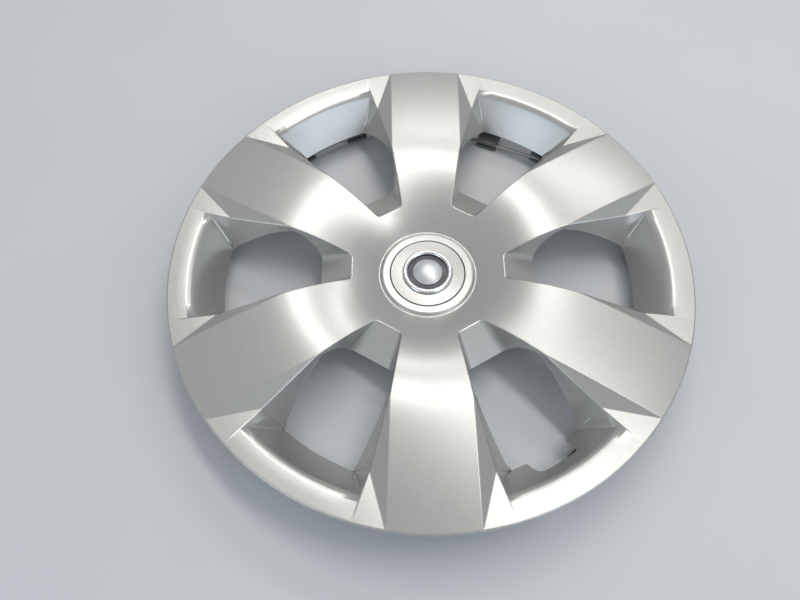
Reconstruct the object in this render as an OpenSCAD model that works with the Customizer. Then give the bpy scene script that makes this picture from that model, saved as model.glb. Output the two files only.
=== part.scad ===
// Six-spoke wheel cover for a 16 inch steel wheel, with its spring ring, centre cap and ornament.
// The axis is Z, the outside faces up, and the clips stand on Z = 0.
// A spoke frame has s out along the spoke, w across it and z up.
// A window frame has u out along the window's middle, v across it and z up.

/* [Cover] */
// Outer diameter of the cover
cover_d = 428; // [400:1:450]
// Thickness of the moulded wall
wall = 3; // [2.4:0.1:3.4]
// Height of the outer edge above the ends of the clips
edge_z = 49; // [46:0.5:58]
// Depth of the skirt that turns down at the outer edge
skirt_h = 7; // [5:0.5:10]
// Rounding of the outer edge
edge_round = 1.6; // [0.8:0.1:2.2]

/* [Crown] */
// Number of spokes
spoke_count = 6; // [5:1:7]
// Radius of the circle where the crown is highest
crest_r = 130; // [120:1:140]
// Height of the crest above the outer edge
crest_rise = 4.2; // [3:0.1:6]
// Drop of the dish below the outer edge at the foot of the hub ring
dish_drop = 21.7; // [16:0.1:24]

/* [Spokes] */
// Distance out to where a spoke leaves the hub
root_s = 61; // [58:0.5:68]
// Half width of a spoke there
root_w = 21.8; // [19:0.1:24]
// Distance out to where a spoke stops widening
knee_s = 117; // [110:1:122]
// Half width of a spoke there
knee_w = 30.8; // [28:0.1:33]
// Half width of a spoke at the outer edge
tip_w = 32.6; // [31:0.1:35]
// Distance of the folded corner facet's inner point from the outer edge, along the spoke
facet_in = 43.8; // [40:0.2:48]
// Distance of that point from the spoke's middle
facet_w = 44.6; // [42:0.1:47]
// Drop of that point below the outer edge
facet_drop = 4.8; // [4:0.1:7]
// Distance from the spoke's middle to the facet's far corner on the outer edge
corner_w = 56.8; // [54:0.1:59]

/* [Windows] */
// Width of the rim band, from the outer edge to where it turns down into the window
band_w = 18.6; // [16:0.2:22]
// Drop of the rim band over that width
band_drop = 2.4; // [1.8:0.1:3.4]
// Width of the bevel, from the rim band in to the hole's outer edge
bevel_w = 20.4; // [18:0.2:23]
// Drop of the hole's outer edge below the cover's outer edge
hole_drop = 30.2; // [26:0.2:33]
// Distance of the hole's outer corner from the spoke's middle
hole_w = 58.1; // [55:0.1:61]
// Distance out to the hole's inner edge
hole_in_u = 91; // [86:0.5:96]
// Drop of the hole's inner edge below the cover's outer edge
hole_in_drop = 24.2; // [20:0.2:27]
// Distance from the hole's inner edge out to the top of the arch over the window's side
arch_in_w = 28; // [23:1:35]
// Drop of the hole's side edge below the cover's outer edge there
arch_drop = 0.8; // [0.4:0.1:2]
// Draft of the window's inner sides, in degrees
inner_draft = 4; // [2:0.5:8]
// Width of the notch for the tyre valve
valve_w = 36; // [24:1:40]
// Depth of that notch beyond the hole's outer edge
valve_depth = 11.5; // [8:0.5:14]
// Rounding of that notch
valve_round = 5; // [3:0.5:8]
// Direction of that notch, in degrees; it goes to the nearest window
valve_angle = -60; // [-90:1:-30]

/* [Hub] */
// Width of the hub ring's flat top
ring_flat = 6.4; // [4:0.2:9]
// Height of the hub ring above the dish
ring_rise = 1.9; // [1:0.1:3]
// Width of the hub ring's sloping outer side
ring_slope = 2.6; // [1.5:0.1:4]
// Radius of the centre cap
cap_r = 31.2; // [28:0.2:33]
// Width of the gap round the centre cap
cap_gap = 0.8; // [0.4:0.1:1.4]
// Height of the centre cap's skirt
cap_h = 6; // [5:0.2:8]
// Thickness of the centre cap's face
cap_t = 2.2; // [1.6:0.1:3]
// Rise of the centre cap's face at its middle
cap_crown = 0.9; // [0.4:0.1:1.6]
// Radius of the ornament
emblem_r = 21.4; // [18:0.2:24]
// Thickness of the ornament's plate
emblem_t = 1.4; // [1:0.1:2]
// Diameter of the ornament's studs
stud_d = 3; // [2.4:0.1:4]
// Distance of each stud from the hub's middle
stud_x = 12; // [10:0.5:16]

/* [Clips and spring ring] */
// Distance of the clips' inner face inside the rim band
clip_in = 5.9; // [5:0.1:7]
// Thickness of a clip
clip_t = 3; // [2.4:0.1:3.4]
// Width of a clip
clip_w = 20; // [14:1:24]
// Angle of each clip from its window's middle, in degrees
clip_angle = 8.75; // [8.5:0.25:10]
// Reach of the barb on a clip
barb = 4; // [2:0.2:5]
// Diameter of the spring wire
wire_d = 3.5; // [3:0.1:4]
// Distance of the ring's straight stretch inside the ring's circle
flat_in = 12.5; // [8:0.5:15]
// Direction of the middle of that stretch, in degrees
flat_angle = 68; // [60:1:76]

/* [Hidden] */
$fn = 200;
silver = "#c4c2bc";
steel = "#8b8d90";
chrome = "#e4e7ea";

edge_r = cover_d / 2;
// Overrun of every cut past the face that it opens
over = 2;
// Reach of a cut that takes away everything on one side of a plane
reach = cover_d * 3;
pitch = 360 / spoke_count;
half_pitch = pitch / 2;
// Direction of the first spoke, and the number of the window with the notch, counted clockwise
first_spoke = 90;
valve_window = round((first_spoke - half_pitch - valve_angle) / pitch);
// Clearance between pieces that are pushed together
fit = 0.25;

// Radii worked in from the outer edge
band_r = edge_r - band_w;
hole_r = band_r - bevel_w;
facet_s = edge_r - facet_in;
valve_r = hole_r + valve_depth;
clip_r = band_r - clip_in;

// Radii worked out from the centre cap
socket_r = cap_r + cap_gap;
ring_r = socket_r + ring_flat + ring_slope;

crest_z = edge_z + crest_rise;
ring_z = edge_z - dish_drop;
dish_arc = arc_radius(crest_r - ring_r, crest_rise + dish_drop);
rim_arc = arc_radius(edge_r - crest_r, crest_rise);
// Lowest level of the moulded walls: the lip of the hole's outer edge
lip_h = 2.5;
lip_z = edge_z - hole_drop - lip_h;
skirt_z = edge_z - skirt_h;

function arc_radius(half, rise) = (half * half + rise * rise) / (2 * rise);
function crown_z(r) = r < crest_r
    ? crest_z - dish_arc + sqrt(pow(dish_arc, 2) - pow(crest_r - r, 2))
    : crest_z - rim_arc + sqrt(pow(rim_arc, 2) - pow(r - crest_r, 2));
function on_crown(s, w) = [s, w, crown_z(norm([s, w]))];
function mix(a, b, share) = a + (b - a) * share;

// Corners of a window's side, in the spoke frame
root = on_crown(root_s, root_w);
knee = on_crown(knee_s, knee_w);
tip_s = sqrt(pow(edge_r, 2) - pow(tip_w, 2));
tip = on_crown(tip_s, tip_w);
facet = [facet_s, facet_w, edge_z - facet_drop];
corner = [sqrt(pow(edge_r, 2) - pow(corner_w, 2)), corner_w, edge_z];
hole_corner = [sqrt(pow(hole_r, 2) - pow(hole_w, 2)), hole_w, edge_z - hole_drop];
// Places along the spoke's edge where the flank beside it changes slope
flank_shares = [0, 0.3, 0.65, 1];
function edge_point(share) = on_crown(mix(knee_s, tip_s, share), mix(knee_w, tip_w, share));

// Inner end of a window, in the window frame
root_r = norm([root_s, root_w]);
root_u = root_r * cos(half_pitch - atan2(root_w, root_s));
// The lower corner between the end wall and the inner side wall, in the spoke frame
foot_slope = (knee_w - root_w) / (knee_s - root_s);
foot_w = root_w - root_s * foot_slope + hole_in_drop * tan(inner_draft);
foot_s = (hole_in_u - foot_w * sin(half_pitch)) / (cos(half_pitch) + foot_slope * sin(half_pitch));
inner_foot = [foot_s, foot_w + foot_s * foot_slope, edge_z - hole_in_drop];

// The rim band and the bevel inside it, as heights at a radius
band_slope = band_drop / (edge_r - band_r);
bevel_slope = (hole_drop - band_drop) / (band_r - hole_r);
function band_z(r) = edge_z - (edge_r - r) * band_slope;
function bevel_z(r) = edge_z - hole_drop + (r - hole_r) * bevel_slope;
bevel_growth = sqrt(1 + pow(bevel_slope, 2)) / bevel_slope;

// The arch that the hole's edge follows up over a window's side and down again
arch_u = hole_in_u + arch_in_w;
arch_steps = 8;
arch_in_power = 2.8;
arch_out_power = 1.3;
function arch_in(i) = let (share = 1 - i / arch_steps)
    [mix(arch_u, hole_in_u - fit, share),
     edge_z - arch_drop - (hole_in_drop - arch_drop) * pow(share, arch_in_power)];
function arch_out(i) = let (share = i / arch_steps)
    [mix(arch_u, hole_r + over, share),
     edge_z - arch_drop - (hole_drop - arch_drop) * pow(share, arch_out_power)];

// The spring ring lies between the clips' ledges
ledge_t = 2.6;
ledge_reach = 1.6;
wire_z = ledge_t + fit + wire_d / 2;
wire_r = clip_r - fit - wire_d / 2;
flat_r = wire_r - flat_in;
// Half the angle that the ring's straight stretch takes up
flat_half = acos(flat_r / wire_r);
function turn(a) = abs((a - flat_angle + 540) % 360 - 180);
function wire_at(a) = turn(a) < flat_half ? flat_r / cos(turn(a)) : wire_r;

// Hub ring, and the socket in it for the centre cap
ring_top = ring_z + ring_rise;
socket_z = ring_top - cap_h;
ledge_r = socket_r - wall * 1.5;

// Centre cap: its seat for the ornament, the back of its face, its skirt and its snap legs
seat_z = ring_top - emblem_t / 4;
cap_under_z = ring_top - cap_t;
skirt_t = cap_t * 0.75;
crown_shares = [0, 0.7, 0.8, 0.9, 1];
function cap_at(share) = [cap_r * share, ring_top + cap_crown * (1 - share * share)];
leg_count = 4;
leg_share = 0.05;

// Ornament: the bead round it and the low dome inside the bead, and the nuts on its studs
bead_r = emblem_t * 1.6;
dome_r = emblem_r * 0.58;
dome_rise = emblem_t * 2.2;
nut_t = stud_d / 5;
nut_r = stud_d * 1.7;

// Everything on the far side of a plane through a point, moved out by d along its normal
module beyond(p, n, d = 0) {
    unit = (n[2] < 0 ? -n : n) / norm(n);
    translate(p - unit * d)
        rotate([0, acos(unit[2]), atan2(unit[1], unit[0])])
            translate([-reach / 2, -reach / 2, 0])
                cube(reach);
}

// The same, above the plane through three points
module above(a, b, c, d = 0) {
    beyond(a, cross(b - a, c - a), d);
}

// Everything past an upright plane along the line from a to b, on its +w side
module past_line(a, b, d = 0) {
    along = atan2(b[1] - a[1], b[0] - a[0]);
    translate([a[0], a[1], 0])
        rotate([0, 0, along])
            translate([-reach / 2, -d, -reach / 2])
                cube(reach);
}

// What lies between the two sides of a window, where its child is one side in the spoke frame
module both_sides() {
    intersection() {
        rotate([0, 0, -half_pitch])
            children();
        mirror([0, 1, 0])
            rotate([0, 0, -half_pitch])
                children();
    }
}

// Where the crown ends: it overruns the edge, which is cut to shape last, or stops a wall short of it
function rim_end(d) = d > 0 ? edge_r - d : edge_r + over;

// Half section of the crown, set in by d and reaching down to a floor
module crown_section(d, floor_z) {
    intersection() {
        translate([crest_r, crest_z - dish_arc])
            circle(dish_arc - d);
        translate([ring_r, floor_z])
            square([crest_r - ring_r, crest_z - floor_z]);
    }
    intersection() {
        translate([crest_r, crest_z - rim_arc])
            circle(rim_arc - d);
        translate([crest_r, floor_z])
            square([rim_end(d) - crest_r, crest_z - floor_z]);
    }
    translate([ring_r - over, floor_z])
        square([over, ring_z - d - floor_z]);
}

// Flank and corner facet beside a spoke: a fan of planes down to the facet's inner point
module folded_corner(d) {
    for (i = [0:len(flank_shares) - 2])
        intersection() {
            above(edge_point(flank_shares[i]), edge_point(flank_shares[i + 1]), facet, d);
            above(tip, corner, facet, d);
            translate([root_s, 0, 0])
                cube([edge_r, corner_w, edge_z * 2]);
        }
}

// Everything over the rim band, or inside the bevel that leads down to the hole
module over_band(d) {
    rotate_extrude()
        polygon([
            [0, band_z(0) - d],
            [edge_r + over, band_z(edge_r + over) - d],
            [edge_r + over, edge_z * 2],
            [0, edge_z * 2]
        ]);
    deep_z = lip_z - over;
    cone_top = band_r + (crest_z - band_z(band_r)) / bevel_slope;
    translate([0, 0, deep_z])
        cylinder(
            h = crest_z - deep_z,
            r1 = hole_r + (deep_z - bevel_z(hole_r)) / bevel_slope + d * bevel_growth,
            r2 = cone_top + d * bevel_growth
        );
}

// Everything outside the window's inner end, over its sloping end wall
module outside_end(d) {
    end_drop = crown_z(root_r) - (edge_z - hole_in_drop);
    beyond([root_u, 0, crown_z(root_r)], [end_drop, 0, hole_in_u - root_u], d);
}

// The window's well, with its walls moved out by d
module well(d) {
    intersection() {
        over_band(d);
        outside_end(d);
        both_sides()
            above(root, knee, inner_foot, d);
        both_sides()
            above(facet, corner, hole_corner, d);
        both_sides() {
            above(knee, inner_foot, hole_corner, d);
            above(knee, facet, hole_corner, d);
        }
    }
}

// The solid under the cover's face round one window, with that face set in by d
module body_under(d, floor_z, span) {
    difference() {
        difference() {
            rotate([0, 0, -span / 2])
                rotate_extrude(angle = span)
                    crown_section(d, floor_z);
            for (side = [0, 1])
                mirror([0, side, 0])
                    rotate([0, 0, -half_pitch])
                        folded_corner(d);
        }
        well(d);
    }
}

// The hole: open between its inner and outer edge, below the arch on each side
module window_hole() {
    intersection() {
        rotate([90, 0, 0])
            linear_extrude(height = cover_d, center = true)
                polygon(concat(
                    [[hole_in_u - fit, lip_z - over]],
                    [for (i = [0:arch_steps]) arch_in(i)],
                    [for (i = [1:arch_steps]) arch_out(i)],
                    [[hole_r + over, lip_z - over]]
                ));
        both_sides()
            past_line(root, knee, wall + fit * 2);
        translate([0, 0, lip_z - over])
            cylinder(h = edge_z, r = hole_r + fit);
    }
}

// Notch in the bevel that leaves room for the tyre valve
module valve_notch() {
    length = valve_r - crest_r;
    translate([crest_r, 0, lip_z - over]) {
        translate([0, -valve_w / 2, 0])
            cube([length - valve_round, valve_w, edge_z - lip_z - over]);
        translate([0, valve_round - valve_w / 2, 0])
            cube([length, valve_w - valve_round * 2, edge_z - lip_z - over]);
        for (side = [-1, 1])
            translate([length - valve_round, side * (valve_w / 2 - valve_round), 0])
                cylinder(h = edge_z - lip_z - over, r = valve_round);
    }
}

// What is taken off the outer edge: its rounding, and the room behind the skirt.
// It is turned so that its seam lies away from the window.
module edge_cut() {
    centre = [edge_r - edge_round, crown_z(edge_r - edge_round) - edge_round];
    rotate([0, 0, 180])
        rotate_extrude() {
            difference() {
                translate(centre)
                    square([edge_round + over * 2, edge_round + over]);
                translate(centre)
                    circle(edge_round);
            }
            translate([edge_r, lip_z - over])
                square([over * 2, centre[1] - lip_z + over]);
            translate([edge_r - wall * 4, lip_z - over])
                square([wall * 4 + over, skirt_z - lip_z + over]);
        }
}

// The moulded shell from the middle of one spoke to the middle of the next
module sector(notched) {
    difference() {
        difference() {
            difference() {
                body_under(0, lip_z, pitch);
                edge_cut();
            }
            body_under(wall, lip_z - over, pitch * 2);
        }
        union() {
            window_hole();
            if (notched)
                valve_notch();
        }
    }
}

// The hub ring with the socket for the centre cap
module hub_ring() {
    rotate_extrude()
        polygon([
            [ledge_r, socket_z - wall],
            [socket_r + wall, socket_z - wall],
            [socket_r + wall, ring_z - wall],
            [ring_r, ring_z - wall],
            [ring_r, ring_z],
            [ring_r - ring_slope, ring_top],
            [socket_r, ring_top],
            [socket_r, socket_z],
            [ledge_r, socket_z]
        ]);
}

// One clip, with its barb, the two ledges that hold the spring ring, and two ribs
module clip(a) {
    inner = wire_at(a) - wire_d / 2 - ledge_reach;
    outer = clip_r + clip_t;
    top = bevel_z(clip_r) - wall / 4;
    rib_t = clip_t / 2;
    rib_r = band_r + wall * 2;
    upper_z = wire_z + wire_d / 2 + fit;
    barb_z = wire_z + wire_d;
    rotate([0, 0, a])
        translate([0, clip_w / 2, 0])
            rotate([90, 0, 0]) {
                linear_extrude(height = clip_w)
                    polygon([
                        [inner, 0],
                        [outer, 0],
                        [outer, barb_z - barb],
                        [outer + barb, barb_z],
                        [outer + barb, barb_z + wire_d / 2],
                        [outer, barb_z + barb * 2],
                        [outer, top],
                        [clip_r, top],
                        [clip_r, upper_z + ledge_t],
                        [inner, upper_z + ledge_t],
                        [inner, upper_z],
                        [clip_r, upper_z],
                        [clip_r, ledge_t],
                        [inner, ledge_t]
                    ]);
                for (rib_at = [0, clip_w - rib_t])
                    translate([0, 0, rib_at])
                        linear_extrude(height = rib_t)
                            polygon([
                                [outer - fit, barb_z + barb * 3],
                                [rib_r, band_z(rib_r) - wall * 2],
                                [rib_r, band_z(rib_r) - wall * 0.75],
                                [outer - fit, bevel_z(outer - fit) - wall]
                            ]);
            }
}

module cover() {
    color(silver) {
        for (i = [0:spoke_count - 1])
            rotate([0, 0, first_spoke - half_pitch - i * pitch])
                sector(i == valve_window);
        hub_ring();
        for (i = [0:spoke_count - 1], side = [-1, 1])
            clip(first_spoke - half_pitch - i * pitch + side * clip_angle);
    }
}

// Spring ring: most of a circle, closed by one straight stretch
module retention_wire() {
    bend_y = wire_r * sin(flat_half);
    color(steel)
        translate([0, 0, wire_z])
            rotate([0, 0, flat_angle]) {
                rotate([0, 0, flat_half])
                    rotate_extrude(angle = 360 - flat_half * 2)
                        translate([wire_r, 0])
                            circle(d = wire_d);
                for (side = [-1, 1])
                    translate([flat_r, side * bend_y, 0])
                        sphere(d = wire_d + fit);
                translate([flat_r, 0, 0])
                    rotate([90, 0, 0])
                        cylinder(h = bend_y * 2, d = wire_d, center = true);
            }
}

// One snap leg of the centre cap, with its hook under the socket's ledge
module cap_leg() {
    leg_out = ledge_r - fit;
    hook_z = socket_z - wall - fit;
    rotate_extrude(angle = leg_share * 360)
        polygon([
            [leg_out - skirt_t, cap_under_z + cap_t / 4],
            [leg_out - skirt_t, hook_z - skirt_t],
            [leg_out, hook_z - skirt_t],
            [leg_out + skirt_t / 2, hook_z - skirt_t / 2],
            [leg_out + skirt_t / 2, hook_z],
            [leg_out, hook_z],
            [leg_out, cap_under_z + cap_t / 4]
        ]);
}
// The centre cap: a low dome with a level seat for the ornament, a skirt and snap legs
module centre_cap() {
    color(silver) {
        difference() {
            rotate_extrude()
                difference() {
                    union() {
                        polygon([[0, cap_under_z], for (share = crown_shares) cap_at(share), [cap_r, cap_under_z]]);
                        translate([cap_r - skirt_t, socket_z])
                            square([skirt_t, ring_top - socket_z]);
                    }
                    translate([0, seat_z])
                        square([emblem_r + fit, cap_t * 2]);
                }
            for (side = [-1, 1])
                translate([side * stud_x, 0, cap_under_z - over])
                    cylinder(h = cap_t + over * 2, d = stud_d + fit * 2);
        }
        for (i = [0:leg_count - 1])
            rotate([0, 0, i * 360 / leg_count])
                cap_leg();
    }
}

// The ornament: a turned button with a raised bead round a low dome, on two studs
module emblem() {
    dome_arc = arc_radius(dome_r, dome_rise);
    color(chrome) {
        translate([0, 0, seat_z])
            rotate_extrude() {
                square([emblem_r, emblem_t]);
                intersection() {
                    translate([emblem_r - bead_r, emblem_t])
                        circle(bead_r);
                    translate([emblem_r - bead_r * 2, 0])
                        square([bead_r * 2, bead_r * 2 + emblem_t]);
                }
                intersection() {
                    translate([0, emblem_t + dome_rise - dome_arc])
                        circle(dome_arc);
                    translate([0, emblem_t / 2])
                        square([dome_r, dome_rise * 2]);
                }
            }
        for (side = [-1, 1])
            translate([side * stud_x, 0, cap_under_z - stud_d])
                cylinder(h = seat_z + emblem_t / 2 - cap_under_z + stud_d, d = stud_d);
    }
}

// Two push-on nuts, one on each stud behind the cap
module push_nuts() {
    color(steel)
        for (side = [-1, 1])
            translate([side * stud_x, 0, cap_under_z - nut_t])
                difference() {
                    cylinder(h = nut_t, r = nut_r);
                    translate([0, 0, -over])
                        cylinder(h = nut_t + over * 2, d = stud_d);
                }
}

cover();
retention_wire();
centre_cap();
emblem();
push_nuts();
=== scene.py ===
# %% [markdown]
# A wheel cover is one thin plastic moulding that clips into a steel wheel. This lesson
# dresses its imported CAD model. The frame is loaded first, because every piece made here
# has to lie where the CAD says.

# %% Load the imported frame
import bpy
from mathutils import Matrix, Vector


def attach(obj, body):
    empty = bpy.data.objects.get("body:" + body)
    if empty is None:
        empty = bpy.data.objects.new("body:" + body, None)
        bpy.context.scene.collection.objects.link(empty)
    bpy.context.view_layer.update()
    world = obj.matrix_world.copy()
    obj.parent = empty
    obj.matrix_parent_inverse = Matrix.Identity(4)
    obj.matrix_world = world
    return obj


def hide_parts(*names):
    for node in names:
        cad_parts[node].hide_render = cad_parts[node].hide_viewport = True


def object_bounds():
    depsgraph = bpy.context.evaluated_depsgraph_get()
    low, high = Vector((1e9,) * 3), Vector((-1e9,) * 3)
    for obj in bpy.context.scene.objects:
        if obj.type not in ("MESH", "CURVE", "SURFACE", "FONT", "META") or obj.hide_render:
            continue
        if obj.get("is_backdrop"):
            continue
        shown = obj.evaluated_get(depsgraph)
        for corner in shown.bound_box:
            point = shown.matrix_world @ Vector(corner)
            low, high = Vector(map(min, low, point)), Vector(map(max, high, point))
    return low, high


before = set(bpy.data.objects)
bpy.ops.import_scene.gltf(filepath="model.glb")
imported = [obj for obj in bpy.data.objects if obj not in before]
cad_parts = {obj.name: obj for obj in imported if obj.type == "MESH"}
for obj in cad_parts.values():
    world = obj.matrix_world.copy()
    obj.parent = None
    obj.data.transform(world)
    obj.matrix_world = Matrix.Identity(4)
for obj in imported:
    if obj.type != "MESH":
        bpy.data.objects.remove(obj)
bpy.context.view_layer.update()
print("nodes:", sorted(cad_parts))

# %% [markdown]
# A moulding is drawn in millimetres, and Blender measures in metres. So the sizes of the
# cover are given in millimetres, and MM turns them into metres where a mesh is made. The
# floor and the lamps are given in metres.

# %% Tools used all through
import math

import bmesh
import bpy
import numpy as np
from mathutils import Matrix, Vector

MM = 0.001
SCENE = bpy.context.scene


def mix(a, b, share):
    return a + (b - a) * share


print("one millimetre is", MM, "in Blender's units")

# %% [markdown]
# The cover's main sizes come next, in millimetres. They are the sizes of the CAD model,
# so that the pieces made here fill the same space. A spoke frame has s out along the
# spoke, w across it and z up. A window frame has u out along the window's middle, v across
# it and z up.

# %% Main sizes
EDGE_R, EDGE_Z, WALL, SKIRT = 214.0, 49.0, 3.0, 7.0
SPOKES, FIRST_SPOKE = 6, 90.0
HALF = math.radians(180 / SPOKES)
CREST_R, CREST_Z = 130.0, EDGE_Z + 4.2
RING_R, RING_Z, RING_TOP = 41.0, EDGE_Z - 21.7, EDGE_Z - 19.8
ROOT, KNEE, TIP_W = (61.0, 21.8), (117.0, 30.8), 32.6
FACET = np.array([170.2, 44.6, EDGE_Z - 4.8])
CORNER_W = 56.8
BAND_R, BAND_Z = 195.4, EDGE_Z - 2.4
HOLE_R, HOLE_Z, HOLE_W = 175.0, EDGE_Z - 30.2, 58.1
HOLE_U, HOLE_U_Z = 91.0, EDGE_Z - 24.2
ARCH_U, ARCH_Z = 119.0, EDGE_Z - 0.8
DRAFT = math.radians(4)
VALVE_WINDOW, VALVE_HALF, VALVE_R, VALVE_ROUND = -60.0, 18.0, 186.5, 5.0


def arc_radius(half, rise):
    return (half * half + rise * rise) / (2 * rise)


DISH_ARC = arc_radius(CREST_R - RING_R, CREST_Z - RING_Z)
RIM_ARC = arc_radius(EDGE_R - CREST_R, CREST_Z - EDGE_Z)


def crown_z(r):
    arc = DISH_ARC if r < CREST_R else RIM_ARC
    return CREST_Z - arc + math.sqrt(arc * arc - (CREST_R - r) ** 2)


def band_z(r):
    return mix(EDGE_Z, BAND_Z, (EDGE_R - r) / (EDGE_R - BAND_R))


def bevel_z(r):
    return mix(BAND_Z, HOLE_Z, (BAND_R - r) / (BAND_R - HOLE_R))


print("the crown rises from %.1f to %.1f mm" % (RING_Z, CREST_Z))

# %% [markdown]
# The shell is drawn as a sheet of patches that share their edges: crown, flank, folded
# facet, side walls, rim band, bevel and end wall. Its folds are crisp on the real moulding,
# so each patch ends exactly on a fold, which a sculpted or subdivided form would blur. One
# half spoke is worked out, and the rest are its mirror images and turns. A key made from
# each point's place lets neighbouring patches find the points that they share.

# %% A sheet that patches are laid into
KEYS_PER_MM = 50


class Sheet:
    def __init__(self):
        self.points, self.index, self.faces, self.folds = [], {}, [], {}

    def point(self, p):
        key = tuple(int(round(float(x) * KEYS_PER_MM)) for x in p)
        if key not in self.index:
            self.index[key] = len(self.points)
            self.points.append([float(x) for x in p])
        return self.index[key]

    def face(self, corners):
        ids = []
        for c in corners:
            i = self.point(c)
            if i not in ids:
                ids.append(i)
        if len(ids) > 2:
            self.faces.append(ids)

    def grid(self, rows):
        for a, b in zip(rows, rows[1:]):
            for i in range(len(a) - 1):
                self.face([a[i], a[i + 1], b[i + 1], b[i]])

    def fold(self, line, radius):
        for a, b in zip(line, line[1:]):
            i, j = self.point(a), self.point(b)
            if i != j:
                self.folds[(min(i, j), max(i, j))] = radius


print("a sheet holds points, faces and folds")

# %% [markdown]
# The folds run from corner to corner, so the corners are worked out first. Root, knee and
# tip lie on the crown, at the spoke's edge. The foot is the hole's inner corner. The draft,
# which lets a moulding leave its mould, moves it out from the spoke's edge.


# %% Corner points of a half spoke
def polar(r, angle, z):
    return np.array([r * math.cos(angle), r * math.sin(angle), z])


def radius_of(p):
    return math.hypot(p[0], p[1])


def angle_of(p):
    return math.atan2(p[1], p[0])


def on_crown(s, w):
    return np.array([s, w, crown_z(math.hypot(s, w))])


def from_window(u, v, z):
    """A point given in the window frame, in the spoke frame."""
    c, s = math.cos(HALF), math.sin(HALF)
    return np.array([u * c + v * s, u * s - v * c, z])


root, knee = on_crown(*ROOT), on_crown(*KNEE)
tip = on_crown(math.sqrt(EDGE_R**2 - TIP_W**2), TIP_W)
corner = np.array([math.sqrt(EDGE_R**2 - CORNER_W**2), CORNER_W, EDGE_Z])
hole_corner = np.array([math.sqrt(HOLE_R**2 - HOLE_W**2), HOLE_W, HOLE_Z])
slope = (KNEE[1] - ROOT[1]) / (KNEE[0] - ROOT[0])
foot_w = ROOT[1] - ROOT[0] * slope + (EDGE_Z - HOLE_U_Z) * math.tan(DRAFT)
foot_s = (HOLE_U - foot_w * math.sin(HALF)) / (math.cos(HALF) + slope * math.sin(HALF))
foot = np.array([foot_s, foot_w + foot_s * slope, HOLE_U_Z])
foot_v = foot[0] * math.sin(HALF) - foot[1] * math.cos(HALF)
root_v = root[0] * math.sin(HALF) - root[1] * math.cos(HALF)
root_u = root[0] * math.cos(HALF) + root[1] * math.sin(HALF)
print("knee", knee.round(1), "facet", FACET.round(1), "hole corner", hole_corner.round(1))
print("the hole is %.1f mm wide at its inner end" % (2 * foot_v))


# %% [markdown]
# The side walls are flat, while the band and the bevel are turned round the axis. The place
# where two such faces meet is found by halving an interval until it is far finer than the
# mesh. A boolean would find it too, but it can leave slivers along the folds.

# %% Where planes and turned faces meet
HALVINGS = 40


def plane(a, b, c):
    n = np.cross(b - a, c - a)
    return n, float(n @ a)


def turned_meets(r, z, flat, low=0.1, high=0.45):
    """The angle at which a turned face at radius r and level z meets a plane."""
    n, d = flat
    side = n @ polar(r, low, z) - d
    for _ in range(HALVINGS):
        mid = (low + high) / 2
        if (n @ polar(r, mid, z) - d > 0) == (side > 0):
            low = mid
        else:
            high = mid
    return low


def wall_at(u, z, flat):
    """The point of a side wall at a distance u along the window and a level z."""
    n, d = flat
    base, step = from_window(u, 0, z), from_window(0, 1, 0)
    return base + step * (d - n @ base) / (n @ step)


def line_at(a, b, r):
    """The point of a straight line at a radius r."""
    low, high = 0.0, 1.0
    for _ in range(HALVINGS):
        mid = (low + high) / 2
        if radius_of(mix(a, b, mid)) < r:
            low = mid
        else:
            high = mid
    return mix(a, b, low)


inner_wall = plane(root, knee, foot)
outer_wall = plane(knee, FACET, hole_corner)
corner_wall = plane(FACET, corner, hole_corner)
print("the bevel starts at %.2f degrees" % math.degrees(turned_meets(BAND_R, BAND_Z, corner_wall)))

# %% [markdown]
# The patches of one half spoke run from the spoke's middle to the middle of the window
# beside it. Each window is rounded where its end wall meets its side wall: tightly at the
# top and widely at the hole. Two curves are drawn round that corner, one on the crown and
# one on the hole's edge, and the wall is ruled between them.

# %% Curves round the window's inner end
END_CELLS, CORNER_CELLS, INNER_ROWS, OUTER_ROWS, ACROSS = 3, 6, 7, 9, 4
shares = [i / ACROSS for i in range(ACROSS + 1)]
TOP_ROUND, HOLE_ROUND, HOLE_ROUND_ALONG = 3.0, 7.0, 6.0
SPLIT_BACK, INNER_ARCH, OUTER_ARCH = 1.0, 2.8, 1.25


def rounded(a, k, b, n):
    """Points of a soft corner from a to b, past the sharp corner k."""
    steps = [i / n for i in range(n + 1)]
    return [(1 - t) ** 2 * a + 2 * t * (1 - t) * k + t * t * b for t in steps]


def arch(u, end_u, end_z, power):
    share = (u - ARCH_U) / (end_u - ARCH_U)
    return mix(ARCH_Z, end_z, abs(share) ** power)


along = (knee - root)[:2] / np.linalg.norm((knee - root)[:2])
top_start = from_window(root_u, root_v - TOP_ROUND, 0)
top_end = np.array([*(root[:2] + along * TOP_ROUND), 0])
top_line = [from_window(root_u, (root_v - TOP_ROUND) * i / END_CELLS, 0) for i in range(END_CELLS)]
top_line += rounded(top_start, np.array([root[0], root[1], 0]), top_end, CORNER_CELLS)
top_line += [mix(top_end, np.array([knee[0], knee[1], 0]), i / INNER_ROWS) for i in range(1, INNER_ROWS + 1)]
top_line = [on_crown(p[0], p[1]) for p in top_line]

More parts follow.
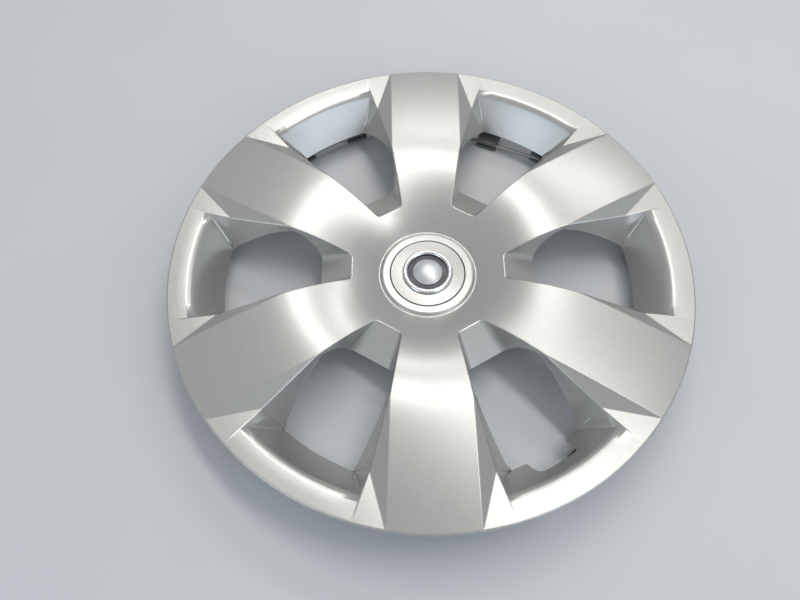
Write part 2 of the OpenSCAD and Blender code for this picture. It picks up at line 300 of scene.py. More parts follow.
SPLIT_U = ARCH_U - SPLIT_BACK
hole_start = from_window(HOLE_U, foot_v - HOLE_ROUND, HOLE_U_Z)
end_u = HOLE_U + HOLE_ROUND_ALONG
hole_end = wall_at(end_u, arch(end_u, HOLE_U, HOLE_U_Z, INNER_ARCH), inner_wall)
hole_line = [from_window(HOLE_U, (foot_v - HOLE_ROUND) * i / END_CELLS, HOLE_U_Z) for i in range(END_CELLS)]
hole_line += rounded(hole_start, foot, hole_end, CORNER_CELLS)
for i in range(1, INNER_ROWS):
    u = mix(end_u, SPLIT_U, i / INNER_ROWS)
    hole_line.append(wall_at(u, arch(u, HOLE_U, HOLE_U_Z, INNER_ARCH), inner_wall))
hole_line.append(wall_at(SPLIT_U, ARCH_Z, outer_wall))
MIDDLE = END_CELLS + CORNER_CELLS // 2
print(len(top_line), "points along the window's inner end, the corner's middle is number", MIDDLE)

# %% [markdown]
# The crown is turned round the axis: it rises from the hub to a crest and falls again to the
# edge, and the windows cut it. Its rows end on the window's edge, so the cut needs no
# boolean, and small cells keep its highlights smooth.


# %% Crown over the hub and along the spoke
def lay_crown(sheet):
    edge = top_line[MIDDLE:]
    edge += [on_crown(mix(KNEE[0], tip[0], i / OUTER_ROWS), mix(KNEE[1], tip[1], i / OUTER_ROWS))
             for i in range(1, OUTER_ROWS + 1)]
    ends = top_line[MIDDLE::-1]
    hub_rows, end_rows = [], []
    for k in shares:
        r = mix(RING_R, radius_of(edge[0]), k)
        hub_rows.append([polar(r, angle_of(edge[0]) * f, crown_z(r)) for f in shares])
        spread = [(mix(RING_R, radius_of(p), k), angle_of(p)) for p in ends]
        end_rows.append([polar(r, a, crown_z(r)) for r, a in spread])
    spoke_rows = [[polar(radius_of(p), angle_of(p) * f, p[2]) for f in shares] for p in edge]
    for rows in (hub_rows, end_rows, spoke_rows):
        sheet.grid(rows)
    return edge, [angle_of(edge[0]) * f for f in shares] + [angle_of(p) for p in ends[1:]]


print("the crown has", END_CELLS + CORNER_CELLS + INNER_ROWS + OUTER_ROWS, "cells along a window")

# %% [markdown]
# The flank beside a spoke falls from the crown's edge to the folded corner, and the facet
# closes the corner out to the edge. Both are nearly flat and become one face each, which
# leaves room for the rounding of their folds. Each fold has a radius of its own, as small
# as the narrowest face beside it needs.

# %% Flank and folded facet
RIM_CELLS = 3
CROWN_FOLD, WALL_FOLD, FLANK_FOLD = 0.8, 0.8, 0.7


def lay_flank(sheet, top, fold_line):
    turns = [mix(angle_of(tip), angle_of(corner), i / RIM_CELLS) for i in range(RIM_CELLS + 1)]
    rim = [polar(EDGE_R, a, EDGE_Z) for a in turns]
    rim[0], rim[-1] = top[-1], corner
    inner, outer = [top[0], FACET], [top[-1], FACET]
    sheet.face(top + [FACET])
    sheet.face(rim + fold_line[1:])
    sheet.fold(outer, FLANK_FOLD)
    sheet.fold(inner, WALL_FOLD)
    sheet.fold(top, CROWN_FOLD)
    return inner, rim


print("the flank's corner lies %.1f mm under the knee" % (knee[2] - FACET[2]))

# %% [markdown]
# Each window is walled down to its hole, whose edge rises in an arch at each side. The end
# wall and the inner stretch of the side wall are ruled between the two curves. The outer
# stretch is flat, so it is one face.

# %% Side walls and end wall
HOLE_END_U = hole_corner[0] * math.cos(HALF) + hole_corner[1] * math.sin(HALF)
LEVELS = [0, 0.4, 0.7, 1]


def lay_walls(sheet, flank_edge):
    sheet.grid([[mix(a, b, k) for a, b in zip(top_line, hole_line)] for k in LEVELS])
    sheet.fold(top_line, CROWN_FOLD)
    out = []
    for i in range(OUTER_ROWS + 1):
        u = mix(SPLIT_U, HOLE_END_U, i / OUTER_ROWS)
        out.append(wall_at(u, arch(u, HOLE_END_U, HOLE_Z, OUTER_ARCH), outer_wall))
    out[0], out[-1] = hole_line[-1], hole_corner
    corner_edge = [mix(FACET, hole_corner, k) for k in LEVELS]
    knee_edge = [mix(knee, out[0], k) for k in LEVELS]
    sheet.face(flank_edge + corner_edge[1:] + out[-2::-1] + knee_edge[-2:0:-1])
    sheet.fold(corner_edge, WALL_FOLD)
    return corner_edge


print("the hole's far corner lies %.1f mm out along the window" % HOLE_END_U)

# %% [markdown]
# Outside the windows the cover ends in a sloping band, and a steep bevel falls from it to
# each hole. The ridge between them is drawn rounded, row by row, so the Bevel modifier has
# only the sharper folds to round. The bevel meets the flat corner wall along a curve, which
# is found row by row too. The hole of one window has a notch for the tyre's valve.

# %% Rim band, its rounded ridge, the bevel and the valve notch
RIDGE, RIDGE_CELLS, NOTCH_CELLS = 4.0, 4, 4
BAND_MID_R, BEVEL_MID_R = 206.7, 189.6
BAND_SHARES, VALVE_FLAT = (0.4, 0.7), VALVE_HALF - VALVE_ROUND
FACET_FOLD, POINT_FOLD, BEVEL_FOLD = 0.7, 0.3, 1.4
ridge_in = RIDGE * (BAND_R - HOLE_R) / math.hypot(BAND_R - HOLE_R, BAND_Z - HOLE_Z)
ridge = rounded(np.array([BAND_R + RIDGE, band_z(BAND_R + RIDGE)]), np.array([BAND_R, BAND_Z]),
                np.array([BAND_R - ridge_in, bevel_z(BAND_R - ridge_in)]), RIDGE_CELLS)
rim_rows = [(EDGE_R, EDGE_Z), (BAND_MID_R, band_z(BAND_MID_R))] + [tuple(p) for p in ridge]
RIDGE_END = len(rim_rows) - 1
rim_rows += [(r, bevel_z(r)) for r in (BEVEL_MID_R, VALVE_R, VALVE_R - VALVE_ROUND, HOLE_R)]
NOTCH_ROW, NOTCH_COLUMN = RIDGE_END + 2, len(BAND_SHARES) + 1
# The first rows start on the facet's fold, the others on the corner wall.
ON_FOLD = 3
fold_line = [corner] + [line_at(FACET, corner, r) for r, _ in rim_rows[1:ON_FOLD]] + [FACET]


def across(r, v):
    """The angle of a point at radius r, a distance v beside the window's middle."""
    return HALF - math.asin(v / r)


def lay_rim(sheet, corner_edge, notched):
    rows, side = [], []
    for k, (r, z) in enumerate(rim_rows):
        start = fold_line[k] if k < ON_FOLD else polar(r, turned_meets(r, z, corner_wall), z)
        if r == HOLE_R:
            start = hole_corner
        stops = [mix(angle_of(start), across(r, VALVE_HALF), share) for share in BAND_SHARES]
        stops += [across(r, v) for v in (VALVE_HALF, VALVE_FLAT, VALVE_FLAT / 2, 0)]
        rows.append([start] + [polar(r, a, z) for a in stops])
        side.append(start)
    for k, (a, b) in enumerate(zip(rows, rows[1:])):
        for i in range(len(a) - 1):
            if not (notched and k >= NOTCH_ROW and i >= NOTCH_COLUMN):
                sheet.face([a[i], a[i + 1], b[i + 1], b[i]])
    if notched:
        bend = []
        for i in range(NOTCH_CELLS + 1):
            t = math.radians(90 * i / NOTCH_CELLS)
            r = VALVE_R - VALVE_ROUND + VALVE_ROUND * math.sin(t)
            v = VALVE_FLAT + VALVE_ROUND * math.cos(t)
            bend.append(polar(r, across(r, v), bevel_z(r)))
        bend[0], bend[-1] = rows[NOTCH_ROW + 1][NOTCH_COLUMN], rows[NOTCH_ROW][NOTCH_COLUMN + 1]
        sheet.face([rows[NOTCH_ROW][NOTCH_COLUMN]] + bend)
    sheet.face([FACET] + side[ON_FOLD - 1:] + corner_edge[-2:0:-1])
    sheet.fold(side[RIDGE_END:], BEVEL_FOLD)
    sheet.fold(fold_line, FACET_FOLD)
    sheet.fold(fold_line[-2:], POINT_FOLD)
    return rows[0]


print(len(rim_rows), "rows from the outer edge down to the hole")

# %% [markdown]
# The skirt turns down at the outer edge, over the wheel's flange. The hub ring stands round
# the middle, with a socket for the centre cap. Both are turned, so each is a section that
# is repeated at the angles of the patches beside it.

# %% Skirt and hub ring
SOCKET_R, SOCKET_DEEP, LEDGE_R = 32.0, 6.0, 27.5
RING_FACE_R, RING_LIP_R = 38.4, 35.2
EDGE_FOLD, RING_FOLDS = 1.6, {0: 1.2, 1: 0.9, 3: 0.6}
ring_profile = [(RING_R, RING_Z), (RING_FACE_R, RING_TOP), (RING_LIP_R, RING_TOP),
                (SOCKET_R, RING_TOP), (SOCKET_R, RING_TOP - SOCKET_DEEP),
                (LEDGE_R, RING_TOP - SOCKET_DEEP)]


def lay_turned(sheet, rim, angles):
    start = [polar(EDGE_R, angle_of(tip) * f, tip[2]) for f in shares]
    start[-1] = rim[0]
    whole = start + rim[1:]
    skirt = [whole]
    for level in (SKIRT / 2, SKIRT):
        skirt.append([p + [0, 0, EDGE_Z - level - p[2]] for p in whole])
    sheet.grid(skirt)
    sheet.fold(whole, EDGE_FOLD)
    rows = [[polar(r, a, z) for a in angles] for r, z in ring_profile]
    sheet.grid(rows)
    for k, radius in RING_FOLDS.items():
        sheet.fold(rows[k], radius)


def half_spoke(notched):
    sheet = Sheet()
    edge, angles = lay_crown(sheet)
    top = edge[-OUTER_ROWS - 1:]
    flank_edge, rim = lay_flank(sheet, top, fold_line)
    corner_edge = lay_walls(sheet, flank_edge)
    band = lay_rim(sheet, corner_edge, notched)
    lay_turned(sheet, rim + band[1:], angles)
    return sheet


plain = half_spoke(False)
print("one half spoke:", len(plain.points), "points,", len(plain.faces), "faces")

# %% [markdown]
# Twelve half spokes make the cover. Each is turned into place, every second one mirrored,
# and points that fall together are joined, so that light runs smoothly over the seams. The
# radius of each fold is kept as a weight on its edges, where the Bevel modifier reads it.

# %% Put the half spokes together
FOLD_MAX, SAME_POINT = 4.0, 0.03


def between(a, b):
    """The angle between two directions, in degrees."""
    return abs((a - b + 180) % 360 - 180)


def whole_cover():
    full = Sheet()
    for k in range(SPOKES):
        spoke = FIRST_SPOKE - k * 360 / SPOKES
        for side in (1, -1):
            window = spoke + side * 180 / SPOKES
            notched = between(window, VALVE_WINDOW) < 1
            part = half_spoke(notched)
            turn = np.array(Matrix.Rotation(math.radians(spoke), 3, "Z"))
            points = (np.array(part.points) * [1, side, 1]) @ turn.T
            for ids in part.faces:
                full.face([points[i] for i in (ids if side > 0 else ids[::-1])])
            for (i, j), radius in part.folds.items():
                full.fold([points[i], points[j]], radius)
    return full


def mesh_from(sheet, name):
    mesh = bpy.data.meshes.new(name)
    mesh.from_pydata([[x * MM for x in p] for p in sheet.points], [], sheet.faces)
    weights = mesh.attributes.new("bevel_weight_edge", "FLOAT", "EDGE")
    values = [sheet.folds.get((min(e.vertices), max(e.vertices)), 0) / FOLD_MAX for e in mesh.edges]
    weights.data.foreach_set("value", values)
    mesh.validate()
    return mesh


cover_mesh = mesh_from(whole_cover(), "cover_shell")
sheet_form = bmesh.new()
sheet_form.from_mesh(cover_mesh)
bmesh.ops.remove_doubles(sheet_form, verts=sheet_form.verts, dist=SAME_POINT * MM)
bmesh.ops.recalc_face_normals(sheet_form, faces=sheet_form.faces)
highest = max(sheet_form.faces, key=lambda f: f.calc_center_median().z)
if highest.normal.z < 0:
    bmesh.ops.reverse_faces(sheet_form, faces=sheet_form.faces)
torn = sum(1 for e in sheet_form.edges if len(e.link_faces) > 2)
open_edges = [e for e in sheet_form.edges if len(e.link_faces) == 1]
for e in open_edges:
    e.smooth = False
sheet_form.to_mesh(cover_mesh)
sheet_form.free()
print("edges round the openings:", len(open_edges), "edges with more than two faces:", torn)

# %% [markdown]
# Every finish on this object wanders a little: paint is not equally smooth all over, and
# dust settles on it. Three effects are shared by several materials, so each is built once
# as a node group with named inputs and outputs, and placed with its own values. The
# patterns follow the object's own coordinates, so they stay on the surface when it turns.

# %% Help for building node trees
def wire(tree, kind, values=None, **settings):
    node = tree.nodes.new(kind)
    for key, value in settings.items():
        setattr(node, key, value)
    for name, value in (values or {}).items():
        if isinstance(value, bpy.types.NodeSocket):
            tree.links.new(value, node.inputs[name])
        else:
            node.inputs[name].default_value = value
    return node


def new_group(name, inputs, outputs):
    group = bpy.data.node_groups.new(name, "ShaderNodeTree")
    for label, value in inputs.items():
        socket = group.interface.new_socket(label, in_out="INPUT", socket_type="NodeSocketFloat")
        socket.default_value = value
    for label in outputs:
        group.interface.new_socket(label, in_out="OUTPUT", socket_type="NodeSocketFloat")
    return group, group.nodes.new("NodeGroupInput").outputs, group.nodes.new("NodeGroupOutput").inputs


def math_node(tree, operation, a, b):
    return wire(tree, "ShaderNodeMath", {0: a, 1: b}, operation=operation).outputs[0]


print("node helpers ready")

# %% Wander: a slow change between two values
wander, given, gives = new_group("wander", {"Scale": 20, "Low": 0.3, "High": 0.5}, ["Value"])
place = wander.nodes.new("ShaderNodeTexCoord").outputs["Object"]
noise = wire(wander, "ShaderNodeTexNoise", {
    "Vector": place, "Scale": given["Scale"], "Detail": 4, "Roughness": 0.6})
spread = wire(wander, "ShaderNodeMapRange", {
    "Value": noise.outputs["Fac"], "From Min": 0.3, "From Max": 0.7,
    "To Min": given["Low"], "To Max": given["High"]})
wander.links.new(spread.outputs["Result"], gives["Value"])
print("wander gives", [s.name for s in gives if s.name])

# %% Grain: fine cells with a random tone and height, for paint flakes and moulded skin
grain, given, gives = new_group("grain", {"Scale": 2000, "Contrast": 0.5}, ["Tone", "Height"])
place = grain.nodes.new("ShaderNodeTexCoord").outputs["Object"]
cells = wire(grain, "ShaderNodeTexVoronoi", {"Vector": place, "Scale": given["Scale"]})
tone = wire(grain, "ShaderNodeSeparateColor", {"Color": cells.outputs["Color"]}).outputs["Red"]
centred = math_node(grain, "SUBTRACT", tone, 0.5)
scaled = math_node(grain, "MULTIPLY", centred, given["Contrast"])
grain.links.new(math_node(grain, "ADD", scaled, 0.5), gives["Tone"])
grain.links.new(math_node(grain, "MULTIPLY", cells.outputs["Distance"], given["Contrast"]), gives["Height"])
print("grain gives", [s.name for s in gives if s.name])

# %% Dust: what settles on faces that look up, in uneven patches
dust, given, gives = new_group("settled_dust", {"Scale": 12, "Amount": 0.1}, ["Mask"])
place = dust.nodes.new("ShaderNodeTexCoord").outputs["Object"]
normal = dust.nodes.new("ShaderNodeNewGeometry").outputs["Normal"]
facing = wire(dust, "ShaderNodeSeparateXYZ", {"Vector": normal})
patches = wire(dust, "ShaderNodeTexNoise", {
    "Vector": place, "Scale": given["Scale"], "Detail": 6, "Roughness": 0.7})
uneven = wire(dust, "ShaderNodeMapRange", {
    "Value": patches.outputs["Fac"], "From Min": 0.4, "From Max": 0.75})
upward = wire(dust, "ShaderNodeMath", {0: facing.outputs["Z"], 1: 0.0}, operation="MAXIMUM").outputs[0]
amount = math_node(dust, "MULTIPLY", uneven.outputs["Result"], given["Amount"])
dust.links.new(math_node(dust, "MULTIPLY", amount, upward), gives["Mask"])
print("settled dust gives", [s.name for s in gives if s.name])


# %% Place groups in a material
def new_material(name, metallic=0.0, coat=0.0, coat_roughness=0.1):
    m = bpy.data.materials.new(name)
    m.use_nodes = True
    bsdf = m.node_tree.nodes["Principled BSDF"]
    bsdf.inputs["Metallic"].default_value = metallic
    bsdf.inputs["Coat Weight"].default_value = coat
    bsdf.inputs["Coat Roughness"].default_value = coat_roughness
    return m, m.node_tree, bsdf


def use(tree, group, **values):
    node = tree.nodes.new("ShaderNodeGroup")
    node.node_tree = group
    for key, value in values.items():
        node.inputs[key].default_value = value
    return node.outputs


def blend_colour(tree, share, a, b):
    node = wire(tree, "ShaderNodeMix", {0: share, 6: a, 7: b}, data_type="RGBA")
    return node.outputs[2]


print("materials can be made")

# %% [markdown]
# Silver wheel paint is a layer of fine aluminium flakes under a clear coat. The flakes
# lie nearly flat and give a broad soft sheen, and the clear coat adds a faint sharp one on
# top. A fully metallic shader would look like chrome, so the paint is part metal, part
# diffuse, with the flakes as a fine grain in its tone. Its roughness stays at 0.28 or more,
# because thin curved lines showed in the paint when it went down to 0.26.

# %% Silver paint
DUST_TONE = (0.55, 0.52, 0.46, 1)


def silver_paint(name, dark, light, dust_amount):
    m, tree, bsdf = new_material(name, metallic=0.72, coat=0.4, coat_roughness=0.18)
    flakes = use(tree, grain, Scale=2600, Contrast=0.7)
    tone = blend_colour(tree, flakes["Tone"], (*dark, 1), (*light, 1))
    settled = use(tree, dust, Scale=14, Amount=dust_amount)["Mask"]
    tree.links.new(blend_colour(tree, settled, tone, DUST_TONE), bsdf.inputs["Base Color"])
    tree.links.new(use(tree, wander, Scale=9, Low=0.28, High=0.34)["Value"], bsdf.inputs["Roughness"])
    return m


cover_silver = silver_paint("cover silver", (0.47, 0.465, 0.445), (0.60, 0.59, 0.565), 0.10)
cap_silver = silver_paint("cap silver", (0.42, 0.415, 0.40), (0.53, 0.52, 0.505), 0.05)
print("paints:", cover_silver.name, "and", cap_silver.name)

# %% [markdown]
# The back of such a cover isn't painted. It shows the grey plastic, with a fine moulded
# skin and some silver overspray, in soft patches. Chrome and spring steel are plain metals
# whose smoothness wanders.

# %% Bare plastic, spring steel and chrome
MOULD_DARK, MOULD_LIGHT = (0.14, 0.14, 0.145, 1), (0.18, 0.18, 0.185, 1)
OVERSPRAY = (0.30, 0.30, 0.29, 1)
bare_plastic, tree, bsdf = new_material("bare grey plastic")
skin = use(tree, grain, Scale=1400, Contrast=0.8)
spray = use(tree, wander, Scale=16, Low=0.0, High=0.35)["Value"]
moulded = blend_colour(tree, skin["Tone"], MOULD_DARK, MOULD_LIGHT)
tree.links.new(blend_colour(tree, spray, moulded, OVERSPRAY), bsdf.inputs["Base Color"])
tree.links.new(use(tree, wander, Scale=30, Low=0.48, High=0.62)["Value"], bsdf.inputs["Roughness"])
relief = wire(tree, "ShaderNodeBump", {"Strength": 0.3, "Distance": 0.0002, "Height": skin["Height"]})
tree.links.new(relief.outputs["Normal"], bsdf.inputs["Normal"])


def metal(name, dark, light, smooth, rough, scale):
    m, tree, bsdf = new_material(name, metallic=1.0)
    tone = use(tree, wander, Scale=scale, Low=0.0, High=1.0)["Value"]
    tree.links.new(blend_colour(tree, tone, (*dark, 1), (*light, 1)), bsdf.inputs["Base Color"])
    roughness = use(tree, wander, Scale=scale * 3, Low=smooth, High=rough)["Value"]
    tree.links.new(roughness, bsdf.inputs["Roughness"])
    return m


spring_steel = metal("zinc plated wire", (0.36, 0.36, 0.37), (0.52, 0.51, 0.48), 0.26, 0.45, 40)
nut_steel = metal("plain spring steel", (0.30, 0.30, 0.31), (0.42, 0.42, 0.42), 0.3, 0.5, 120)
chrome = metal("bright chrome", (0.78, 0.79, 0.80), (0.84, 0.85, 0.86), 0.14, 0.22, 60)
print("metals:", spring_steel.name, nut_steel.name, chrome.name)

# %% [markdown]
# Solidify gives the sheet its wall. It copies the weights of the folds to the back too,
# where they would make Bevel slide points far along the flat rows. So the walled mesh is
# kept, the back's folds lose their weight and become plain sharp edges, and Bevel rounds
# only the folds outside, each by its own radius.

# %% Wall and rounded folds of the shell
BACK_SHARP = math.radians(20)


def add_piece(name, mesh, node, slot, *materials):
    piece = bpy.data.objects.new(name, mesh)
    SCENE.collection.objects.link(piece)
    for m in materials:
        mesh.materials.append(m)
    mesh.shade_smooth()
    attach(piece, "root")
    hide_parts(node)
    return piece


cover = add_piece("cover_shell", cover_mesh, "cover", "cover_paint", cover_silver, bare_plastic)
wall = cover.modifiers.new("wall", "SOLIDIFY")
wall.thickness, wall.offset = WALL * MM, -1
wall.use_even_offset = True
wall.material_offset = 1
wall.material_offset_rim = 0
bpy.context.view_layer.update()
walled = bpy.data.meshes.new_from_object(cover.evaluated_get(bpy.context.evaluated_depsgraph_get()))
cover.modifiers.remove(wall)
form = bmesh.new()
form.from_mesh(walled)
weight = form.edges.layers.float["bevel_weight_edge"]
for e in form.edges:
    if all(f.material_index == 1 for f in e.link_faces):
        e.smooth = e.calc_face_angle(0) < BACK_SHARP
        e[weight] = 0
form.to_mesh(walled)
form.free()
cover.data = walled
walled.name = "cover_shell"
rounding = cover.modifiers.new("rounding", "BEVEL")
rounding.limit_method, rounding.width = "WEIGHT", FOLD_MAX * MM
rounding.segments, rounding.harden_normals = 3, True
rounding.use_clamp_overlap = False
print("the cover's shell is", WALL, "mm thick")

# %% [markdown]
# Twelve clips stand on the back of the rim, two behind each window. Each is a flat finger
# with a barb, two ledges that hold the spring ring, and a rib at each side. They are
# drawn as side views and given a width, as a mould maker would cut them.

# %% Clips behind the rim
CLIP_R, CLIP_T, CLIP_W, CLIP_ANGLE, BARB = 189.5, 3.0, 20.0, 8.75, 4.0
WIRE_D, FLAT_R, FLAT_ANGLE, LEDGE_T, LEDGE_REACH, FIT = 3.5, 175.0, 68.0, 2.6, 1.6, 0.25
WIRE_Z, WIRE_R = LEDGE_T + FIT + WIRE_D / 2, CLIP_R - FIT - WIRE_D / 2
RIB_T, RIB_R, RIB_SINK = CLIP_T / 2, BAND_R + WALL * 2, WALL * 0.75
CLIP_SOFT, SHARP = 0.35, math.radians(40)


def wire_at(degrees):
    off = between(degrees, FLAT_ANGLE)
    if off < math.degrees(math.acos(FLAT_R / WIRE_R)):
        return FLAT_R / math.cos(math.radians(off))
    return WIRE_R


def slab(form, outline, near, far, degrees):
    """A side view of points (r, z), given the width from near to far, at one direction."""
    turn = Matrix.Rotation(math.radians(degrees), 3, "Z")
    sides = []
    for y in (near, far):
        sides.append([form.verts.new(turn @ Vector((r * MM, y * MM, z * MM))) for r, z in outline])
    form.faces.new(sides[0])
    form.faces.new(sides[1][::-1])
    for i in range(len(outline)):
        j = (i + 1) % len(outline)
        form.faces.new([sides[0][j], sides[0][i], sides[1][i], sides[1][j]])


def clip_outline(degrees):
    inner, outer = wire_at(degrees) - WIRE_D / 2 - LEDGE_REACH, CLIP_R + CLIP_T
    top, upper, barb = bevel_z(CLIP_R) - WALL / 4, WIRE_Z + WIRE_D / 2 + FIT, WIRE_Z + WIRE_D
    return [(inner, 0), (outer, 0), (outer, barb - BARB), (outer + BARB, barb),
            (outer + BARB, barb + WIRE_D / 2), (outer, barb + BARB * 2), (outer, top),
            (CLIP_R, top), (CLIP_R, upper + LEDGE_T), (inner, upper + LEDGE_T), (inner, upper),
            (CLIP_R, upper), (CLIP_R, LEDGE_T), (inner, LEDGE_T)]


form = bmesh.new()
outer, low = CLIP_R + CLIP_T, WIRE_Z + WIRE_D + BARB * 3
rib_outline = [(outer - FIT, low), (RIB_R, band_z(RIB_R) - WALL * 2), (RIB_R, band_z(RIB_R) - RIB_SINK),
               (outer - FIT, bevel_z(outer - FIT) - WALL)]
for k in range(SPOKES):
    for side in (-1, 1):
        at = FIRST_SPOKE - 180 / SPOKES - k * 360 / SPOKES + side * CLIP_ANGLE
        slab(form, clip_outline(at), -CLIP_W / 2, CLIP_W / 2, at)
        for y in (-CLIP_W / 2, CLIP_W / 2 - RIB_T):
            slab(form, rib_outline, y, y + RIB_T, at)
bmesh.ops.recalc_face_normals(form, faces=form.faces)
clip_mesh = bpy.data.meshes.new("clips")
form.to_mesh(clip_mesh)
form.free()
clips = add_piece("clips", clip_mesh, "cover", "cover_paint", bare_plastic)
soft = clips.modifiers.new("soft_edges", "BEVEL")
soft.width, soft.segments = CLIP_SOFT * MM, 2
soft.limit_method, soft.angle_limit = "ANGLE", SHARP
soft.harden_normals = True
print("clips:", SPOKES * 2)

# %% [markdown]
# The ornament in the centre cap is a turned button: a bead round a sunk ring and a low
# dome. A turned piece is drawn as half of its section and spun, which gives rounder
# highlights on chrome than the CAD's own facets do. The sunk ring is dark, as the low
# parts of such ornaments are. The dome is satin, because a bright one shows the lamps as
# hard streaks. Two studs hold the ornament behind the cap.

# %% Ornament
EMBLEM_R, EMBLEM_T, STUD_D, STUD_X, CAP_T = 21.4, 1.4, 3.0, 12.0, 2.2
SEAT_Z, CAP_UNDER = RING_TOP - EMBLEM_T / 4, RING_TOP - CAP_T
BEAD_R, DOME_R, DOME_RISE = EMBLEM_T * 1.6, EMBLEM_R * 0.58, EMBLEM_T * 2.2
SUNK_DEEP, SUNK_SIDE, DOME_ROWS, BEAD_CELLS, STUD_TURNS = 0.6, 0.15, 12, 16, 32


def spin(form, section, turns=128, at=0.0):
    rings = []
    for r, z in section:
        if r == 0:
            rings.append([form.verts.new((at * MM, 0, z * MM))] * turns)
        else:
            angles = [2 * math.pi * i / turns for i in range(turns)]
            ring = [((at + r * math.cos(a)) * MM, r * math.sin(a) * MM, z * MM) for a in angles]
            rings.append([form.verts.new(p) for p in ring])
    made = []
    for a, b in zip(rings, rings[1:]):
        for i in range(turns):
            j = (i + 1) % turns
            corners = []
            for v in (a[i], a[j], b[j], b[i]):
                if v not in corners:
                    corners.append(v)
            made.append(form.faces.new(corners))
    return made


dome_arc = arc_radius(DOME_R, DOME_RISE)
top_z = SEAT_Z + EMBLEM_T
section = []
for i in range(DOME_ROWS + 1):
    r = DOME_R * i / DOME_ROWS
    section.append((r, top_z + DOME_RISE - dome_arc + math.sqrt(dome_arc**2 - r * r)))
section += [(DOME_R + SUNK_SIDE, top_z - SUNK_DEEP), (EMBLEM_R - BEAD_R * 2, top_z - SUNK_DEEP)]
SUNK_ROW = len(section) - 2
for i in range(BEAD_CELLS + 1):
    a = math.pi * (1 - i / BEAD_CELLS)
    section.append((EMBLEM_R - BEAD_R + BEAD_R * math.cos(a), top_z + BEAD_R * math.sin(a)))
section += [(EMBLEM_R, SEAT_Z), (0, SEAT_Z)]
form = bmesh.new()
faces = spin(form, section)
turns = len(faces) // (len(section) - 1)
for face in faces[:DOME_ROWS * turns]:
    face.material_index = 2
for k in (SUNK_ROW - 1, SUNK_ROW, SUNK_ROW + 1):
    for face in faces[k * turns:(k + 1) * turns]:
        face.material_index = 1
stud_low, stud_top = CAP_UNDER - STUD_D, SEAT_Z + EMBLEM_T / 4
stud = [(0, stud_low), (STUD_D / 2, stud_low), (STUD_D / 2, stud_top), (0, stud_top)]
for side in (-1, 1):
    spin(form, stud, STUD_TURNS, side * STUD_X)
bmesh.ops.recalc_face_normals(form, faces=form.faces)
for e in form.edges:
    e.smooth = e.calc_face_angle(0) < SHARP
ornament_mesh = bpy.data.meshes.new("ornament")
form.to_mesh(ornament_mesh)
form.free()
sunk_dark = metal("dark lacquer", (0.05, 0.05, 0.055), (0.09, 0.09, 0.095), 0.3, 0.42, 90)
satin = metal("satin chrome", (0.62, 0.63, 0.64), (0.72, 0.73, 0.74), 0.38, 0.48, 90)
add_piece("ornament", ornament_mesh, "emblem", "emblem_chrome", chrome, sunk_dark, satin)
print("ornament:", len(faces), "faces round")

# %% [markdown]
# The spring ring is round wire, the centre cap is a turned disc, and the push nuts are small
# and sit behind it. The CAD's meshes show all three well, so they are kept and only get a
# finish. The cap has the cover's paint, a little darker.

# %% Materials for the pieces kept from the CAD
finishes = {"retention_wire": spring_steel, "centre_cap": cap_silver, "push_nuts": nut_steel}
for name, finish in finishes.items():
    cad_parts[name].data.materials.clear()
    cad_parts[name].data.materials.append(finish)
print("CAD pieces dressed:", sorted(finishes))

# %% [markdown]
# The camera stands where the photograph was taken from, above and in front of the cover.
# Its place, lens and shift were solved from the outlines of the cover and its windows.

# %% Camera
RIGHT = (0.99988, 0.00349, -0.01538)
DOWN = (-0.00342, -0.90397, -0.42759)
AHEAD = (-0.01539, 0.42759, -0.90384)
PLACE = (-19.4, -255.3, 471.3)
SENSOR, LENS, SHIFT = 36, 26.874, (0.00524, 0.02699)
camera = bpy.data.objects.new("camera", bpy.data.cameras.new("camera"))
SCENE.collection.objects.link(camera)
SCENE.camera = camera
camera.matrix_world = Matrix([
    [RIGHT[i], -DOWN[i], -AHEAD[i], PLACE[i] * MM] for i in range(3)] + [[0, 0, 0, 1]])
camera.data.sensor_width, camera.data.lens = SENSOR, LENS
camera.data.shift_x, camera.data.shift_y = SHIFT
camera.data.clip_start, camera.data.clip_end = 0.01, 20
print("the camera stands", round(math.dist((0, 0, EDGE_Z), PLACE)), "mm from the cover's middle")

# %% [markdown]
# The studio is plain: a pale floor, an even pale surround, two long strip lamps overhead
# and two wide soft ones low in front. Each spoke is curved, so a strip lamp shows on it as
# one soft band. A band is brightest where the paint mirrors the lamp to the camera, which
# fixes each lamp's place overhead. The low lamps are bluish and light the bevels that face
# them. Far from the part the floor takes the tone of the backdrop, so no horizon shows.

# %% Floor
BACKDROP = (0.64, 0.65, 0.67, 1)
FLOOR_DARK, FLOOR_LIGHT = (0.76, 0.77, 0.79, 1), (0.80, 0.81, 0.82, 1)
FLOOR_R, FLOOR_SIDES, FADE_FROM, FADE_TO = 6, 96, 0.5, 2.2
floor_finish, tree, bsdf = new_material("pale floor")
tone = use(tree, wander, Scale=3, Low=0.0, High=1.0)["Value"]
tree.links.new(blend_colour(tree, tone, FLOOR_DARK, FLOOR_LIGHT), bsdf.inputs["Base Color"])
tree.links.new(use(tree, wander, Scale=5, Low=0.55, High=0.7)["Value"], bsdf.inputs["Roughness"])
place = tree.nodes.new("ShaderNodeTexCoord").outputs["Object"]
far = wire(tree, "ShaderNodeVectorMath", {0: place}, operation="LENGTH").outputs["Value"]
fade = wire(tree, "ShaderNodeMapRange", {"Value": far, "From Min": FADE_FROM, "From Max": FADE_TO},
            interpolation_type="SMOOTHSTEP").outputs["Result"]
fade = math_node(tree, "MULTIPLY", fade, tree.nodes.new("ShaderNodeLightPath").outputs["Is Camera Ray"])
distance_tone = wire(tree, "ShaderNodeEmission", {"Color": BACKDROP})
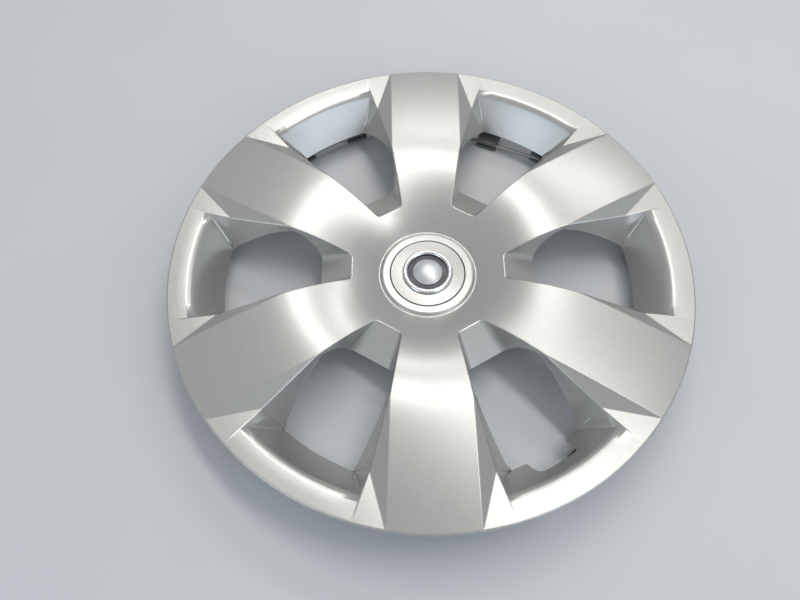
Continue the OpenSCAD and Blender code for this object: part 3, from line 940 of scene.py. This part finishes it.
faded = wire(tree, "ShaderNodeMixShader", {
    0: fade, 1: bsdf.outputs["BSDF"], 2: distance_tone.outputs["Emission"]})
tree.links.new(faded.outputs["Shader"], tree.nodes["Material Output"].inputs["Surface"])
floor_mesh = bpy.data.meshes.new("floor")
round_edge = [2 * math.pi * i / FLOOR_SIDES for i in range(FLOOR_SIDES)]
floor_mesh.from_pydata([(FLOOR_R * math.cos(a), FLOOR_R * math.sin(a), 0) for a in round_edge], [],
                       [list(range(FLOOR_SIDES))])
floor = bpy.data.objects.new("floor", floor_mesh)
SCENE.collection.objects.link(floor)
floor_mesh.materials.append(floor_finish)
floor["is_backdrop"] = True
print("the floor lies at the level of the clips' ends and is", FLOOR_R * 2, "m across")

# %% [markdown]
# The surround has one tone for the light it gives, a paler one where a surface mirrors it,
# and the backdrop's tone for the camera. So the paint can mirror a bright room while the
# picture's own light stays soft. The Light Path node tells these rays apart.

# %% Surround
LIGHT_LOW, LIGHT_HIGH = (0.20, 0.23, 0.27, 1), (0.40, 0.41, 0.42, 1)
MIRRORED_LOW, MIRRORED_HIGH = (0.44, 0.46, 0.49, 1), (0.54, 0.55, 0.56, 1)
world = bpy.data.worlds.new("studio")
SCENE.world = world
world.use_nodes = True
tree = world.node_tree
place = tree.nodes.new("ShaderNodeTexCoord").outputs["Generated"]
direction = wire(tree, "ShaderNodeSeparateXYZ", {"Vector": place})
height = wire(tree, "ShaderNodeMapRange", {
    "Value": direction.outputs["Z"], "From Min": 0.0, "From Max": 0.9}).outputs["Result"]
lights = blend_colour(tree, height, LIGHT_LOW, LIGHT_HIGH)
mirrored = blend_colour(tree, height, MIRRORED_LOW, MIRRORED_HIGH)
ray = tree.nodes.new("ShaderNodeLightPath").outputs
seen = math_node(tree, "MAXIMUM", ray["Is Camera Ray"], ray["Is Transmission Ray"])
surround = blend_colour(tree, ray["Is Glossy Ray"], lights, mirrored)
surround = blend_colour(tree, seen, surround, BACKDROP)
tree.links.new(surround, tree.nodes["Background"].inputs["Color"])
print("the surround mixes", len([n for n in tree.nodes if n.type == "MIX"]), "pairs of tones")

# %% [markdown]
# Each lamp is an area light, because its size sets how soft a band it leaves on the paint: a
# long narrow strip gives a soft bar, and a wide square one only lifts the faces towards it.
# A lamp is turned by aiming it at a point, which is easier to judge than its angles.

# %% Lamps
WARM, COOL_RIGHT, COOL_LEFT = (1.0, 0.985, 0.96), (0.70, 0.85, 1.0), (0.70, 0.86, 1.0)


def lamp(name, place, aim, size, watts, colour):
    light = bpy.data.lights.new(name, "AREA")
    light.shape, light.size, light.size_y = "RECTANGLE", *size
    light.energy, light.color = watts, colour
    holder = bpy.data.objects.new(name, light)
    SCENE.collection.objects.link(holder)
    turn = (Vector(aim) - Vector(place)).to_track_quat("-Z", "Y").to_matrix().to_4x4()
    holder.matrix_world = Matrix.Translation(place) @ turn


lamp("strip_near", place=(0.3, 0.43, 1.6), aim=(0.15, 0.3, 0), size=(1.7, 0.24), watts=8, colour=WARM)
lamp("strip_far", place=(0.5, 1.5, 1.6), aim=(0.1, 0.2, 0), size=(1.5, 0.17), watts=5, colour=WARM)
lamp("soft_right", place=(1.3, -1.3, 0.85), aim=(0, 0, 0), size=(1.2, 1.2), watts=7, colour=COOL_RIGHT)
lamp("soft_left", place=(-1.3, -1.3, 0.85), aim=(0, 0, 0), size=(0.9, 0.9), watts=4.5, colour=COOL_LEFT)
SCENE.view_settings.view_transform = "Standard"

# %% [markdown]
# The whole is measured once more, and the height of its highest point is printed. A piece that stood out
# above the part would show there.

# %% Finish
low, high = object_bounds()
print("the highest point is at %.1f mm" % (high[2] / MM))
